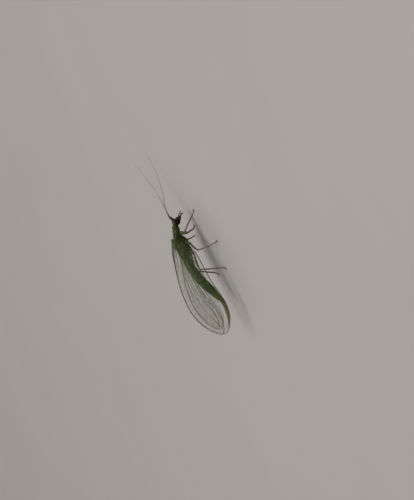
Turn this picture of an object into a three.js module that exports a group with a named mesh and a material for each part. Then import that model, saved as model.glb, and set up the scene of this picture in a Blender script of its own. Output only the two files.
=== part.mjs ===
// A green lacewing at life size, standing still with its wings folded over its back.
// Millimetres, +Z up, +X towards the head, +Y to the insect's left.
// Places along the body are measured forward from the root of the forewings, and the whole
// insect is then moved so that the origin is under the middle of its bounding box.
import * as THREE from "three";
import { mergeVertices } from "three/addons/utils/BufferGeometryUtils.js";

// Driving dimensions
const WING_THICK = 0.48;
const WING_ROOT_THICK = 0.36;
const WING_TIP_THICK = 0.26;
const VEIN_RAISE = 0.07;
const VEIN_HALF_WIDTH = 0.035;
const RIDGE_HALF_GAP = 0.15;
const ROOF_CURVE = 0.8;
const GAP = 0.25;
const ROOT_SHIFT = 1.05;

const THORAX_HALF_WIDTH = 0.98;
const THORAX_HALF_HEIGHT = 1.0;
const ABDOMEN_RADIUS = 0.66;
const ABDOMEN_SEGMENTS = 9;
const GROOVE_DEPTH = 0.05;
const EYE_RADIUS = 0.42;
const EYE_HEIGHT = 0.4;
const EYE_ROOT = [2.06, 0.62, 2.5];
const SCAPE_RADIUS = 0.25;
const PALP_RADIUS = 0.19;
const PALP_TAPER = 0.08;
const LIMB_RADIUS = 0.25;
const KNEE_RADIUS = 0.3;
const SOLE_DROP = 0.05;
const LIMB_SIDES = 8;
const BODY_SIDES = 16;

const WING_STATIONS = 20;
const ROOT_STATIONS = 3;
const WING_VEINS = [0.14, 0.32, 0.5, 0.68, 0.86];
const RIM_WIDTH = 0.04;

// Photo colours and finishes
const MATERIALS = {
  head: { color: 0x3a1f10, roughness: 0.45, metalness: 0.0 },
  eye: { color: 0x1c110a, roughness: 0.2, metalness: 0.15 },
  feeler: { color: 0x7a6a58, roughness: 0.6, metalness: 0.0 },
  thorax: { color: 0x39451c, roughness: 0.5, metalness: 0.0 },
  abdomen: { color: 0x38481f, roughness: 0.55, metalness: 0.0 },
  leg: { color: 0x7c7360, roughness: 0.55, metalness: 0.0 },
  wing: { color: 0x9aa088, roughness: 0.25, metalness: 0.0 },
};

function material(name) {
  return new THREE.MeshStandardMaterial({ name, ...MATERIALS[name] });
}

function v3(x, y, z) {
  return new THREE.Vector3(x, y, z);
}

// Reads a value off a list of [place, value] pairs, straight between neighbours.
function profile(pairs, place) {
  for (let i = 1; i < pairs.length; i += 1) {
    const [p0, v0] = pairs[i - 1];
    const [p1, v1] = pairs[i];
    if (place <= p1) {
      return v0 + ((v1 - v0) * (place - p0)) / (p1 - p0);
    }
  }
  return pairs[pairs.length - 1][1];
}

function closedGeometry(points, faces) {
  const geometry = new THREE.BufferGeometry();
  const position = new Float32Array(points.length * 3);
  points.forEach((p, i) => position.set([p.x, p.y, p.z], i * 3));
  let volume = 0;
  for (const [a, b, c] of faces) {
    volume += points[a].dot(points[b].clone().cross(points[c]));
  }
  const index = faces.flatMap(([a, b, c]) => (volume > 0 ? [a, b, c] : [a, c, b]));
  geometry.setAttribute("position", new THREE.BufferAttribute(position, 3));
  geometry.setIndex(index);
  geometry.computeVertexNormals();
  return geometry;
}

// Joins rings of equal count into one closed skin, with a point at the middle of each end.
function loft(rings) {
  const sides = rings[0].length;
  const points = rings.flat();
  const faces = [];
  for (let r = 0; r + 1 < rings.length; r += 1) {
    for (let s = 0; s < sides; s += 1) {
      const a = r * sides + s;
      const b = r * sides + ((s + 1) % sides);
      faces.push([a, b, b + sides]);
      faces.push([a, b + sides, a + sides]);
    }
  }
  for (const end of [0, rings.length - 1]) {
    const middle = v3(0, 0, 0);
    rings[end].forEach((p) => middle.add(p));
    points.push(middle.divideScalar(sides));
    const top = points.length - 1;
    for (let s = 0; s < sides; s += 1) {
      const a = end * sides + s;
      const b = end * sides + ((s + 1) % sides);
      faces.push(end === 0 ? [b, a, top] : [a, b, top]);
    }
  }
  return closedGeometry(points, faces);
}

// A limb, feeler or head: rings set square to a smooth path, with their side axis kept level.
function sweep(path, count, sides, radiusSide, radiusUp) {
  const rings = [];
  let side = v3(0, 1, 0);
  for (let i = 0; i <= count; i += 1) {
    const t = i / count;
    const middle = path.getPointAt(t);
    const along = path.getTangentAt(t);
    side = side.clone().addScaledVector(along, -side.dot(along)).normalize();
    const up = along.clone().cross(side);
    const ring = [];
    for (let s = 0; s < sides; s += 1) {
      const angle = (2 * Math.PI * (s + 0.5)) / sides;
      const p = middle.clone();
      p.addScaledVector(side, Math.cos(angle) * radiusSide(t));
      p.addScaledVector(up, Math.sin(angle) * radiusUp(t));
      ring.push(p);
    }
    rings.push(ring);
  }
  return rings;
}

function curve(points) {
  return new THREE.CatmullRomCurve3(points.map((p) => v3(...p)), false, "centripetal");
}

// Upright sections along the body: each station is [x, middle z, half width, half height].
function bodyLoft(stations, sides) {
  return loft(stations.map(([x, z, halfWidth, halfHeight]) => {
    const ring = [];
    for (let s = 0; s < sides; s += 1) {
      const angle = (2 * Math.PI * s) / sides;
      ring.push(v3(x, halfWidth * Math.cos(angle), z + halfHeight * Math.sin(angle)));
    }
    return ring;
  }));
}

const insect = new THREE.Group();
insect.position.x = ROOT_SHIFT;

function add(name, geometry, finish) {
  const mesh = new THREE.Mesh(geometry, material(finish));
  mesh.name = name;
  insect.add(mesh);
  return mesh;
}

// Thorax: a neck-like first part, then the two that carry the wings
const PROTHORAX = [
  [1.44, 2.99, 0.36, 0.4],
  [1.3, 3.02, 0.5, 0.5],
  [0.95, 3.17, 0.58, 0.58],
  [0.6, 3.27, 0.6, 0.62],
  [0.42, 3.3, 0.52, 0.56],
];
const MESOTHORAX = [
  [0.17, 3.36, 0.6, 0.62],
  [0.0, 3.42, 0.8, 0.86],
  [-0.4, 3.42, THORAX_HALF_WIDTH, THORAX_HALF_HEIGHT],
  [-0.9, 3.4, THORAX_HALF_WIDTH, THORAX_HALF_HEIGHT],
  [-1.2, 3.38, 0.84, 0.88],
];
const METATHORAX = [
  [-1.45, 3.38, 0.8, 0.84],
  [-1.7, 3.38, 0.86, 0.88],
  [-2.2, 3.42, 0.8, 0.82],
  [-2.65, 3.52, 0.62, 0.66],
];
add("prothorax", bodyLoft(PROTHORAX, BODY_SIDES), "thorax");
add("mesothorax", bodyLoft(MESOTHORAX, BODY_SIDES), "thorax");
add("metathorax", bodyLoft(METATHORAX, BODY_SIDES), "thorax");

// Abdomen: a tapered tube with a groove between its rings, sloping down to the tail
const ABDOMEN_FRONT = METATHORAX[3][0] - GAP;
const ABDOMEN_BACK = -10.3;
const ABDOMEN_HEIGHT = [
  [0, 3.62], [0.12, 3.68], [0.3, 3.6], [0.45, 3.4], [0.6, 3.05], [0.75, 2.65], [0.9, 2.22], [1, 1.98],
];
const ABDOMEN_GIRTH = [
  [0, 0.7], [0.08, 0.9], [0.3, 1], [0.6, 1.08], [0.75, 0.98], [0.88, 0.66], [0.96, 0.42], [1, 0.2],
];
function abdomenStations() {
  const stations = [];
  const steps = ABDOMEN_SEGMENTS * 2;
  for (let i = 0; i <= steps; i += 1) {
    const t = i / steps;
    const groove = i % 2 === 0 && i > 0 && i < steps ? GROOVE_DEPTH : 0;
    const radius = ABDOMEN_RADIUS * profile(ABDOMEN_GIRTH, t) - groove;
    const x = ABDOMEN_FRONT + (ABDOMEN_BACK - ABDOMEN_FRONT) * t;
    stations.push([x, profile(ABDOMEN_HEIGHT, t), radius * 0.94, radius]);
  }
  return stations;
}
add("abdomen", bodyLoft(abdomenStations(), BODY_SIDES), "abdomen");

// Head: from the crown down to the mouth, narrow between two domed eyes
const HEAD_PATH = curve([[1.98, 0, 3.02], [2.1, 0, 2.6], [2.3, 0, 2.15], [2.56, 0, 1.66]]);
const HEAD_WIDTH = [[0, 0.2], [0.1, 0.38], [0.35, 0.42], [0.6, 0.42], [0.8, 0.34], [1, 0.16]];
const HEAD_DEPTH = [[0, 0.24], [0.1, 0.46], [0.35, 0.54], [0.6, 0.42], [0.8, 0.3], [1, 0.15]];
const headRings = sweep(
  HEAD_PATH, 10, BODY_SIDES, (t) => profile(HEAD_WIDTH, t), (t) => profile(HEAD_DEPTH, t),
);
add("head", loft(headRings), "head");

function eyeGeometry() {
  const outline = [new THREE.Vector2(0, 0)];
  const arcs = 7;
  for (let i = 0; i <= arcs; i += 1) {
    const angle = ((Math.PI / 2) * i) / arcs;
    const radius = i === arcs ? 0 : EYE_RADIUS * Math.cos(angle);
    outline.push(new THREE.Vector2(radius, EYE_HEIGHT * Math.sin(angle)));
  }
  const dome = new THREE.LatheGeometry(outline, 18);
  dome.deleteAttribute("uv");
  dome.deleteAttribute("normal");
  const merged = mergeVertices(dome, 1e-4);
  merged.computeVertexNormals();
  return merged;
}

// Feelers: a stout first joint and a long tapering whip, each side with its own bend
const SIDES = [["right", -1], ["left", 1]];
const FEELER_PATHS = {
  right: [[3.42, -0.5, 3.14], [4.56, -0.95, 3.17], [6.4, -1.9, 2.8], [8.9, -3.05, 2.6], [11.7, -4.0, 2.7]],
  left: [[3.42, 0.42, 2.98], [4.56, 0.62, 2.86], [6.72, 1.15, 2.7], [9.4, 1.9, 2.9], [12.05, 2.7, 3.25]],
};
const FEELER_RADIUS = [[0, 0.22], [0.6, 0.2], [1, 0.1]];
const SCAPE_ROOT = [2.72, 0.33, 2.92];

for (const [name, side] of SIDES) {
  const eye = add(`eye_${name}`, eyeGeometry(), "eye");
  eye.position.set(EYE_ROOT[0], side * EYE_ROOT[1], EYE_ROOT[2]);
  eye.rotation.x = side > 0 ? 0 : Math.PI;

  const whip = curve(FEELER_PATHS[name]);
  const start = FEELER_PATHS[name][0];
  const scapeRadius = () => SCAPE_RADIUS;
  const scape = curve([
    [SCAPE_ROOT[0], side * SCAPE_ROOT[1], SCAPE_ROOT[2]],
    [start[0] - GAP, start[1] - side * 0.04, start[2] - 0.02],
  ]);
  add(`scape_${name}`, loft(sweep(scape, 3, LIMB_SIDES, scapeRadius, scapeRadius)), "feeler");
  const radius = (t) => profile(FEELER_RADIUS, t);
  add(`antenna_${name}`, loft(sweep(whip, 18, 6, radius, radius)), "feeler");

  const palp = curve([[2.78, side * 0.32, 1.62], [3.0, side * 0.4, 1.4], [3.12, side * 0.42, 1.1]]);
  const palpRadius = (t) => PALP_RADIUS - PALP_TAPER * t;
  add(`palp_${name}`, loft(sweep(palp, 4, 6, palpRadius, palpRadius)), "feeler");
}

// Legs: hip, knee, ankle and toe of each, from the hip on the thorax to a flat sole on the floor
const LEGS = {
  foreleg_right: [[0.75, -0.42, 2.32], [0.7, -0.95, 2.28], [0.52, -1.7, 2.42], [1.66, -1.6, 0.88], [2.5, -1.5, 0.2]],
  foreleg_left: [[0.75, 0.42, 2.32], [0.6, 0.85, 2.05], [0.16, 1.25, 1.42], [0.3, 1.65, 0.4], [0.88, 1.9, 0.2]],
  midleg_right: [[-0.75, -0.7, 2.16], [-1.4, -1.3, 2.1], [-2.55, -2.35, 2.3], [-2.8, -4.0, 1.08], [-2.66, -4.8, 0.2]],
  midleg_left: [[-0.75, 0.7, 2.16], [-0.75, 1.2, 2.12], [-0.7, 2.1, 2.26], [-0.9, 3.6, 0.8], [-0.78, 4.3, 0.2]],
  hindleg_right: [[-2.0, -0.6, 2.3], [-2.7, -0.85, 2.32], [-4.85, -1.3, 2.92], [-5.95, -2.0, 1.0], [-6.8, -2.3, 0.2]],
  hindleg_left: [[-2.0, 0.6, 2.3], [-2.7, 0.85, 2.32], [-4.85, 1.3, 2.85], [-6.3, 2.35, 0.6], [-7.25, 2.75, 0.2]],
};
const SOLE_LENGTH = 0.55;

function legGeometry(points) {
  const [hip, turn, knee, ankle, toe] = points;
  const heading = v3(toe[0] - ankle[0], toe[1] - ankle[1], 0).normalize().multiplyScalar(SOLE_LENGTH / 2);
  const level = LIMB_RADIUS - SOLE_DROP;
  const heel = [toe[0] - heading.x, toe[1] - heading.y, level + 0.02];
  const tip = [toe[0] + heading.x, toe[1] + heading.y, level - 0.02];
  const path = curve([hip, turn, knee, ankle, heel, tip]);
  const lengths = [hip, turn, knee, ankle, heel, tip].map((p) => v3(...p));
  const places = [0];
  for (let i = 1; i < lengths.length; i += 1) {
    places.push(places[i - 1] + lengths[i].distanceTo(lengths[i - 1]));
  }
  const total = places[places.length - 1];
  const radius = (t) => profile([
    [0, KNEE_RADIUS],
    [places[1] / total, KNEE_RADIUS],
    [places[2] / total - 0.06, LIMB_RADIUS],
    [places[2] / total, KNEE_RADIUS],
    [places[2] / total + 0.06, LIMB_RADIUS],
    [0.97, LIMB_RADIUS],
    [1, LIMB_RADIUS * 0.8],
  ], t);
  const rings = sweep(path, 22, LIMB_SIDES, radius, radius);
  for (const ring of rings) {
    for (const p of ring) {
      p.z = Math.max(p.z, 0);
    }
  }
  return loft(rings);
}
for (const [name, points] of Object.entries(LEGS)) {
  add(name, legGeometry(points), "leg");
}

// Wings: hind margin along the ridge of the roof, front margin low at the side
const FOREWING_TOP = [
  [-0.5, 0.84, 4.42], [-1.2, 0.46, 4.86], [-2.0, 0.22, 5.18], [-3.2, 0.12, 5.55], [-5.3, 0.1, 6.13],
  [-7.3, 0.1, 6.47], [-9.1, 0.1, 6.56], [-10.5, 0.12, 6.37], [-11.75, 0.16, 5.93], [-12.5, 0.22, 5.52],
  [-13.1, 0.34, 5.1], [-13.6, 0.52, 4.62], [-13.95, 0.72, 4.22],
];
const FOREWING_FRONT = [
  [0.3, 0.98, 3.98], [-0.5, 1.45, 3.72], [-1.5, 2.1, 3.3], [-2.6, 2.7, 2.89], [-4.75, 3.0, 2.88],
  [-7.0, 3.0, 2.86], [-8.8, 2.9, 2.6], [-10.6, 2.7, 2.42], [-12.1, 2.2, 2.57], [-12.8, 1.9, 2.82],
  [-13.5, 1.5, 3.17], [-13.9, 1.18, 3.53], [-14.08, 0.95, 3.86],
];
const HINDWING_TOP = [
  [-2.0, 0.66, 4.25], [-3.0, 0.4, 4.5], [-5.0, 0.32, 4.98], [-8.0, 0.32, 5.22],
  [-10.0, 0.32, 4.98], [-11.6, 0.36, 4.5], [-12.6, 0.45, 4.0],
];
const HINDWING_FRONT = [
  [-1.7, 1.16, 3.84], [-3.0, 1.3, 3.6], [-5.0, 1.6, 3.56], [-7.5, 1.74, 3.2], [-9.6, 1.62, 2.9],
  [-11.4, 1.2, 3.0], [-12.2, 0.8, 3.35], [-12.6, 0.6, 3.65],
];
// How far the middle of each wing's thickness stands outside its film, from root to tip
const FOREWING_LIFT = [[0, 0.34], [0.15, 0.38], [0.24, 0.24], [0.34, 0.05], [0.45, -0.02], [1, -0.02]];
const HINDWING_LIFT = [[0, 0.06], [0.1, 0.0], [0.4, -0.1], [0.6, -0.14], [1, -0.2]];
const WING_THICKNESS = [[0, WING_ROOT_THICK], [0.1, WING_THICK], [0.55, WING_THICK], [1, WING_TIP_THICK]];

function wingColumns() {
  const columns = [0, RIM_WIDTH];
  for (const vein of WING_VEINS) {
    columns.push(vein - VEIN_HALF_WIDTH, vein, vein + VEIN_HALF_WIDTH);
  }
  columns.push(1 - RIM_WIDTH, 1);
  return columns;
}

// Keeps a point on its own side of the ridge, so that the two wings stay apart.
function besideRidge(point, side) {
  point.y = side * Math.max(side * point.y, RIDGE_HALF_GAP);
  return point;
}

function wingGeometry(top, front, lift, side) {
  const upper = curve(top);
  const lower = curve(front);
  const columns = wingColumns();
  const raised = (u) => (u === 0 || u === 1 || WING_VEINS.includes(u) ? VEIN_RAISE : 0);
  const middle = [];
  for (let i = 0; i <= WING_STATIONS; i += 1) {
    const t = i / WING_STATIONS;
    const a = upper.getPointAt(t);
    const b = lower.getPointAt(t);
    middle.push(columns.map((u) => v3(
      a.x + (b.x - a.x) * u,
      side * (a.y + (b.y - a.y) * u ** ROOF_CURVE),
      a.z + (b.z - a.z) * u,
    )));
  }
  const count = columns.length;
  const outer = [];
  const inner = [];
  for (let i = 0; i <= WING_STATIONS; i += 1) {
    const t = i / WING_STATIONS;
    const thick = profile(WING_THICKNESS, t);
    for (let j = 0; j < count; j += 1) {
      const near = Math.max(i, ROOT_STATIONS);
      const back = middle[near - 1][j];
      const ahead = middle[Math.min(near + 1, WING_STATIONS)][j];
      const above = middle[near][Math.max(j - 1, 0)];
      const below = middle[near][Math.min(j + 1, count - 1)];
      const normal = ahead.clone().sub(back).cross(below.clone().sub(above)).normalize();
      const rim = j === 0 || j === count - 1 ? VEIN_RAISE : 0;
      const reach = thick / 2 + raised(columns[j]) - rim;
      const shift = -side * profile(lift, t);
      outer.push(besideRidge(middle[i][j].clone().addScaledVector(normal, shift + reach), side));
      inner.push(besideRidge(middle[i][j].clone().addScaledVector(normal, shift - reach), side));
    }
  }
  const shift = outer.length;
  const faces = [];
  const quad = (a, b, c, d) => faces.push([a, b, c], [a, c, d]);
  for (let i = 0; i < WING_STATIONS; i += 1) {
    for (let j = 0; j + 1 < count; j += 1) {
      const a = i * count + j;
      const b = a + 1;
      const c = b + count;
      const d = a + count;
      quad(a, b, c, d);
      faces.push([a + shift, c + shift, b + shift], [a + shift, d + shift, c + shift]);
    }
    const a = i * count;
    const b = a + count;
    quad(a, b, b + shift, a + shift);
    quad(b - 1 + count, b - 1, b - 1 + shift, b - 1 + count + shift);
  }
  const last = WING_STATIONS * count;
  for (let j = 0; j + 1 < count; j += 1) {
    quad(j + 1, j, j + shift, j + 1 + shift);
    quad(last + j, last + j + 1, last + j + 1 + shift, last + j + shift);
  }
  return closedGeometry([...outer, ...inner], faces);
}

for (const [name, side] of SIDES) {
  add(`forewing_${name}`, wingGeometry(FOREWING_TOP, FOREWING_FRONT, FOREWING_LIFT, side), "wing");
  add(`hindwing_${name}`, wingGeometry(HINDWING_TOP, HINDWING_FRONT, HINDWING_LIFT, side), "wing");
}

const group = new THREE.Group();
group.add(insect);
export default group;
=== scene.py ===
# %% [markdown]
# # A green lacewing, life size
# The insect stands with its wings folded like a roof over its back. The frame already holds plain
# solids for every part, so this notebook only adds the fine surface: a jointed body, a head with
# faceted eyes, ringed feelers, slim haired legs and four clear, netted wings.
# Everything is in metres, with +X to the head, +Y to the insect's left and the floor at zero.

# %% Load the frame
import math

import bmesh
import bpy
import numpy as np
from mathutils import Matrix, Vector


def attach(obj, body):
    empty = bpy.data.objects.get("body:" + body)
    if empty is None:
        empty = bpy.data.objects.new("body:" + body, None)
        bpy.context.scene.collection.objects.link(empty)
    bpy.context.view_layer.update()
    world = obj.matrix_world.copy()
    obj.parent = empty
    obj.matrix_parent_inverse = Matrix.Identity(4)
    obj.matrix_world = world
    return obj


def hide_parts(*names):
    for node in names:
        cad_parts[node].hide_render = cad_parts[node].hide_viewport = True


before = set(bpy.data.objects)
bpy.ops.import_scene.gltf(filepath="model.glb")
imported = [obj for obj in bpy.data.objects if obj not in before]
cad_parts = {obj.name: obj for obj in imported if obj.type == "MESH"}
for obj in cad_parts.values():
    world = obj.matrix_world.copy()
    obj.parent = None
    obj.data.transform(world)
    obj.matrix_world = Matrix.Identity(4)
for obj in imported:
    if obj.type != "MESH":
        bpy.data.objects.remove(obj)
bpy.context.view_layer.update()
MM = 0.001
# Places along the body are measured forward from the forewing's root, which is here in the frame.
ROOT_X = 1.05
print("nodes in the frame:", len(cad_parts))

# %% [markdown]
# ## Curves and a place to gather faces
# Most parts of an insect are tubes that bend and swell, so one smooth curve through a few listed
# points, and one tube laid along it, make nearly everything. A small gatherer keeps the points and
# faces of many pieces and turns them into one mesh at the end, which is far quicker than joining
# objects with operators.

# %% Smooth curve through points, spaced evenly along its length
def smooth(points, count, closeness=40):
    """Points along a Catmull-Rom curve, evenly spaced, as an array."""
    p = np.array(points, float)
    ends = np.vstack([2 * p[0] - p[1], p, 2 * p[-1] - p[-2]])
    fine = []
    for i in range(len(p) - 1):
        a, b, c, d = ends[i:i + 4]
        t = np.linspace(0, 1, closeness, endpoint=False)[:, None]
        fine.append(0.5 * (2 * b + (c - a) * t + (2 * a - 5 * b + 4 * c - d) * t ** 2
                           + (3 * b - a - 3 * c + d) * t ** 3))
    fine = np.vstack([*fine, p[-1:]])
    along = np.concatenate([[0], np.cumsum(np.linalg.norm(np.diff(fine, axis=0), axis=1))])
    places = np.linspace(0, along[-1], count)
    return np.stack([np.interp(places, along, fine[:, k]) for k in range(p.shape[1])], axis=1)


def unit(vectors):
    """The vector, or each one of an array, made 1 long. One of no length stays as it is."""
    return vectors / (np.linalg.norm(vectors, axis=-1, keepdims=True) + 1e-12)


def ramp(pairs, place):
    """A value read off (place, value) pairs, in straight lines between neighbours."""
    xs, ys = np.array(pairs, float).T
    order = np.argsort(xs)
    return np.interp(place, xs[order], ys[order])


class Faces:
    """Gathers vertices, faces and named values per vertex, in millimetres from the wing root."""

    def __init__(self):
        self.points = []
        self.faces = []
        self.values = {}
        self.patches = {}
        self.count = 0

    def add(self, points, faces, patch=None, **values):
        points = np.asarray(points, float)
        start = self.count
        for name, value in values.items():
            kept = self.values.setdefault(name, [np.zeros(start)] if start else [])
            kept.append(np.broadcast_to(np.asarray(value, float), (len(points),)))
        for name in set(self.values) - set(values):
            self.values[name].append(np.zeros(len(points)))
        if patch is not None:
            self.patches.update({start + i: patch for i in range(len(points))})
        self.points.append(points)
        self.faces.extend([[start + i for i in face] for face in faces])
        self.count += len(points)


def ring_faces(rings, sides):
    """Quads between rings of equal count, with one face closing each end."""
    faces = []
    for r in range(rings - 1):
        for s in range(sides):
            a, b = r * sides + s, r * sides + (s + 1) % sides
            faces.append([a, b, b + sides, a + sides])
    faces.append(list(range(sides))[::-1])
    faces.append([(rings - 1) * sides + s for s in range(sides)])
    return faces


def tube(path, radius, sides, flat=1.0):
    """Points of rings set square to a path; flat squeezes them along their second direction."""
    path = np.asarray(path, float)
    radius = np.broadcast_to(np.asarray(radius, float), (len(path),))
    along = unit(np.gradient(path, axis=0))
    side = np.array((0.0, 1.0, 0.0))
    if abs(side @ along[0]) > 0.9:
        side = np.array((1.0, 0.0, 0.3))
    angles = 2 * np.pi * (np.arange(sides) + 0.5) / sides
    rings = []
    for middle, direction, r in zip(path, along, radius):
        side = unit(side - direction * (side @ direction))
        up = np.cross(direction, side)
        rings.append(middle + r * (np.cos(angles)[:, None] * side + flat * np.sin(angles)[:, None] * up))
    return np.vstack(rings)


def add_tube(gather, path, radius, sides, flat=1.0, **values):
    """Adds a tube. A value is one number, or one for each ring."""
    values = {name: np.repeat(value, sides) if np.ndim(value) else value for name, value in values.items()}
    gather.add(tube(path, radius, sides, flat), ring_faces(len(path), sides), **values)


print("a curve through three points:", smooth([(0, 0), (1, 1), (2, 0)], 5).round(2).tolist())

# %% [markdown]
# ## Turning gathered faces into a piece
# Each piece becomes a mesh object whose place is in its own mesh, as the frame asks. The named
# values, such as how close a point is to the back line, ride along as attributes, so a material can
# follow the anatomy instead of guessing it from coordinates.

# %% Make a piece
def set_bake_map(mesh, patches):
    """Gives the faces of each hair one small patch of a UV map."""
    corners = np.zeros(len(mesh.loops), np.int32)
    mesh.loops.foreach_get("vertex_index", corners)
    spread = [patches[i] for i in corners.tolist()]
    shift = np.array([(0, 0), (0.003, 0), (0.0015, 0.003)])
    spots = np.array(spread) + shift[np.arange(len(corners)) % 3]
    mesh.uv_layers.new(name="OFBake").data.foreach_set("uv", spots.astype(np.float32).ravel())


def make(name, gather, finish, slot, *nodes):
    """One mesh object from the gathered faces, riding on the root and standing for CAD nodes.

    Hairs and claws that would dip below the floor are stopped at it.
    """
    points = np.vstack(gather.points)
    points[:, 0] += ROOT_X
    points[:, 2] = np.maximum(points[:, 2], 0.0)
    mesh = bpy.data.meshes.new(name)
    mesh.from_pydata((points * MM).tolist(), [], gather.faces)
    for label, parts in gather.values.items():
        layer = mesh.attributes.new(label, "FLOAT", "POINT")
        layer.data.foreach_set("value", np.concatenate(parts).astype(np.float32))
    if gather.patches:
        set_bake_map(mesh, gather.patches)
    mesh.materials.append(finish)
    mesh.update()
    tidy = bmesh.new()
    tidy.from_mesh(mesh)
    bmesh.ops.recalc_face_normals(tidy, faces=tidy.faces)
    tidy.to_mesh(mesh)
    tidy.free()
    mesh.polygons.foreach_set("use_smooth", [True] * len(mesh.polygons))
    piece = bpy.data.objects.new(name, mesh)
    bpy.context.scene.collection.objects.link(piece)
    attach(piece, "root")
    if nodes:
        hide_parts(*nodes)
    print(f"{name}: {len(mesh.polygons)} faces")


# %% [markdown]
# ## Materials: one helper for nodes
# Every finish below is a small graph of nodes, and one function adds a node with its settings and
# its links. Colours are quoted as people write them, in sRGB hex, and another function turns them
# into the linear numbers that the renderer works in.

# %% Helpers for materials
def linear(hex_colour):
    """An sRGB hex colour as linear RGBA."""
    parts = [int(hex_colour[i:i + 2], 16) / 255 for i in (1, 3, 5)]
    return tuple(c / 12.92 if c <= 0.04045 else ((c + 0.055) / 1.055) ** 2.4 for c in parts) + (1.0,)


def node(tree, kind, output=None, sockets=None, stops=(), **settings):
    """Adds a node and gives back the output asked for.

    The kind is Blender's name for it without the ShaderNode that all of them start with. A socket
    takes another node's output, a hex colour or a plain value. Stops colour a ramp.
    """
    made = tree.nodes.new("ShaderNode" + kind)
    for key, value in settings.items():
        setattr(made, key, value)
    for key, value in (sockets or {}).items():
        if isinstance(value, bpy.types.NodeSocket):
            tree.links.new(value, made.inputs[key])
        else:
            made.inputs[key].default_value = linear(value) if isinstance(value, str) else value
    while stops and len(made.color_ramp.elements) < len(stops):
        made.color_ramp.elements.new(0.5)
    for step, (place, colour) in enumerate(stops):
        made.color_ramp.elements[step].position = place
        made.color_ramp.elements[step].color = linear(colour)
    return made.outputs[output] if output else made


def material_of(name, finish):
    """A material whose surface is the shader that finish lays out."""
    material = bpy.data.materials.new(name)
    material.use_nodes = True
    tree = material.node_tree
    tree.nodes.clear()
    node(tree, "OutputMaterial", sockets={"Surface": finish(tree)})
    print("made", name)
    return material


print("leaf green in linear light:", [round(c, 3) for c in linear("#38481f")])

# %% [markdown]
# ## Mottling, zones and relief
# Grown things are never one flat colour, so every finish starts from soft noise. Its blotches are
# given in millimetres, and the scale follows from that size. Over it come zones, such as the line
# down the back or the brown of a foot, each where the piece's own attribute of that name is high.
# A fine relief, a few thousandths of a millimetre deep, breaks up the gloss.

# %% Mottling, zones and relief
def mottling(tree, *blotches):
    """Soft noises in the piece's own space, one for each blotch size in mm and level of detail."""
    place = node(tree, "TexCoord", "Object")
    return [node(tree, "TexNoise", "Fac", {
        "Vector": place, "Scale": 1 / (size * MM), "Detail": detail, "Roughness": 0.55})
        for size, detail in blotches]


def blotched(tree, size_mm, stops):
    """A colour that wanders between the stops in soft blotches."""
    blotch, = mottling(tree, (size_mm, 3))
    return node(tree, "ValToRGB", "Color", {"Fac": blotch}, stops)


def zoned(tree, base, zones):
    """The base colour with each zone's colour laid over it in turn."""
    for label, colour in zones:
        where = node(tree, "Attribute", "Fac", attribute_name=label)
        base = node(tree, "Mix", "Result", {"Factor": where, "A": base, "B": colour},
                    data_type="RGBA")
    return base


def surface(tree, colour, grain, depth_mm, look):
    """A shader with the colour, a relief that follows the grain, and the values in look."""
    relief = node(tree, "Bump", "Normal", {"Height": grain, "Distance": depth_mm * MM})
    return node(tree, "BsdfPrincipled", "BSDF", {"Base Color": colour, "Normal": relief, **look})


# %% [markdown]
# ## Soft green cuticle
# The thorax and abdomen are covered with chitin cuticle, a thin, slightly waxy skin over green
# tissue. It is grown, not moulded, so its colour wanders in soft blotches and the back carries a paler
# olive line. The creases between rings are painted darker, as painted shade. Cuticle has an index of
# refraction near 1.5 and a satin gloss, and a little light scatters inside it.

# %% Green body cuticle
CUTICLE_IOR = 1.45
# fine wax dulls the gloss of most parts below what the index alone would give
WAXY = {"IOR": CUTICLE_IOR, "Specular IOR Level": 0.3}


def green_cuticle(tree):
    chest = blotched(tree, 0.6, [(0.3, "#1f2606"), (0.5, "#2b340a"), (0.72, "#3e4712")])
    rings = blotched(tree, 0.45, [(0.3, "#1d3411"), (0.5, "#2a471a"), (0.72, "#3b5925")])
    # painted shade: crease darkens the creases between rings and parts nearly to black
    colour = zoned(tree, chest, [("abdomen", rings), ("back_line", "#464f22"), ("crease", "#141b0a"),
                                 ("tail", "#4e4b22"), ("pale", "#8a8452")])
    wax, fine = mottling(tree, (0.25, 3), (0.05, 4))
    rough = node(tree, "MapRange", "Result", {"Value": wax, "To Min": 0.36, "To Max": 0.58})
    place = node(tree, "TexCoord", "Object")
    cells = node(tree, "TexVoronoi", "Distance", {"Vector": place, "Scale": 1 / (0.07 * MM)})
    grain = node(tree, "Math", "Value", {0: fine, 1: cells}, operation="ADD")
    return surface(tree, colour, grain, 0.006, {
        **WAXY, "Roughness": rough, "Subsurface Weight": 0.1, "Subsurface Scale": 0.12 * MM})


GREEN = material_of("chitin_cuticle_green", green_cuticle)

# %% [markdown]
# ## Hard brown cuticle
# The head capsule is thicker and darker: an olive-brown crown, then a red-brown face that is almost
# black below the eyes. The palps and the first joints of the feelers share it. Being hard and
# smooth, it is a little glossier than the body.

# %% Brown head cuticle
def brown_cuticle(tree):
    face = blotched(tree, 0.3, [(0.3, "#240e06"), (0.55, "#3e1a0b"), (0.8, "#552a13")])
    colour = zoned(tree, face, [("crown", "#3a2a12"), ("cheek", "#120905")])
    fine, = mottling(tree, (0.04, 4))
    return surface(tree, colour, fine, 0.005, {**WAXY, "Roughness": 0.38})


BROWN = material_of("chitin_cuticle_brown", brown_cuticle)

# %% [markdown]
# ## Eye lenses
# A compound eye is a dome of tiny clear lenses over dark pigment. The lenses are real geometry
# further down, so the finish only has to be dark and brown, with the gloss of a smooth clear coat.

# %% Eye cuticle
def eye_lenses(tree):
    pigment = blotched(tree, 0.35, [(0.3, "#0b0503"), (0.6, "#190c06"), (0.8, "#2b190c")])
    return node(tree, "BsdfPrincipled", "BSDF", {
        "Base Color": pigment, "IOR": CUTICLE_IOR, "Specular IOR Level": 0.15, "Roughness": 0.3,
        "Coat Weight": 0.05, "Coat Roughness": 0.1})


LENSES = material_of("eye_lens_cuticle", eye_lenses)

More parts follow.
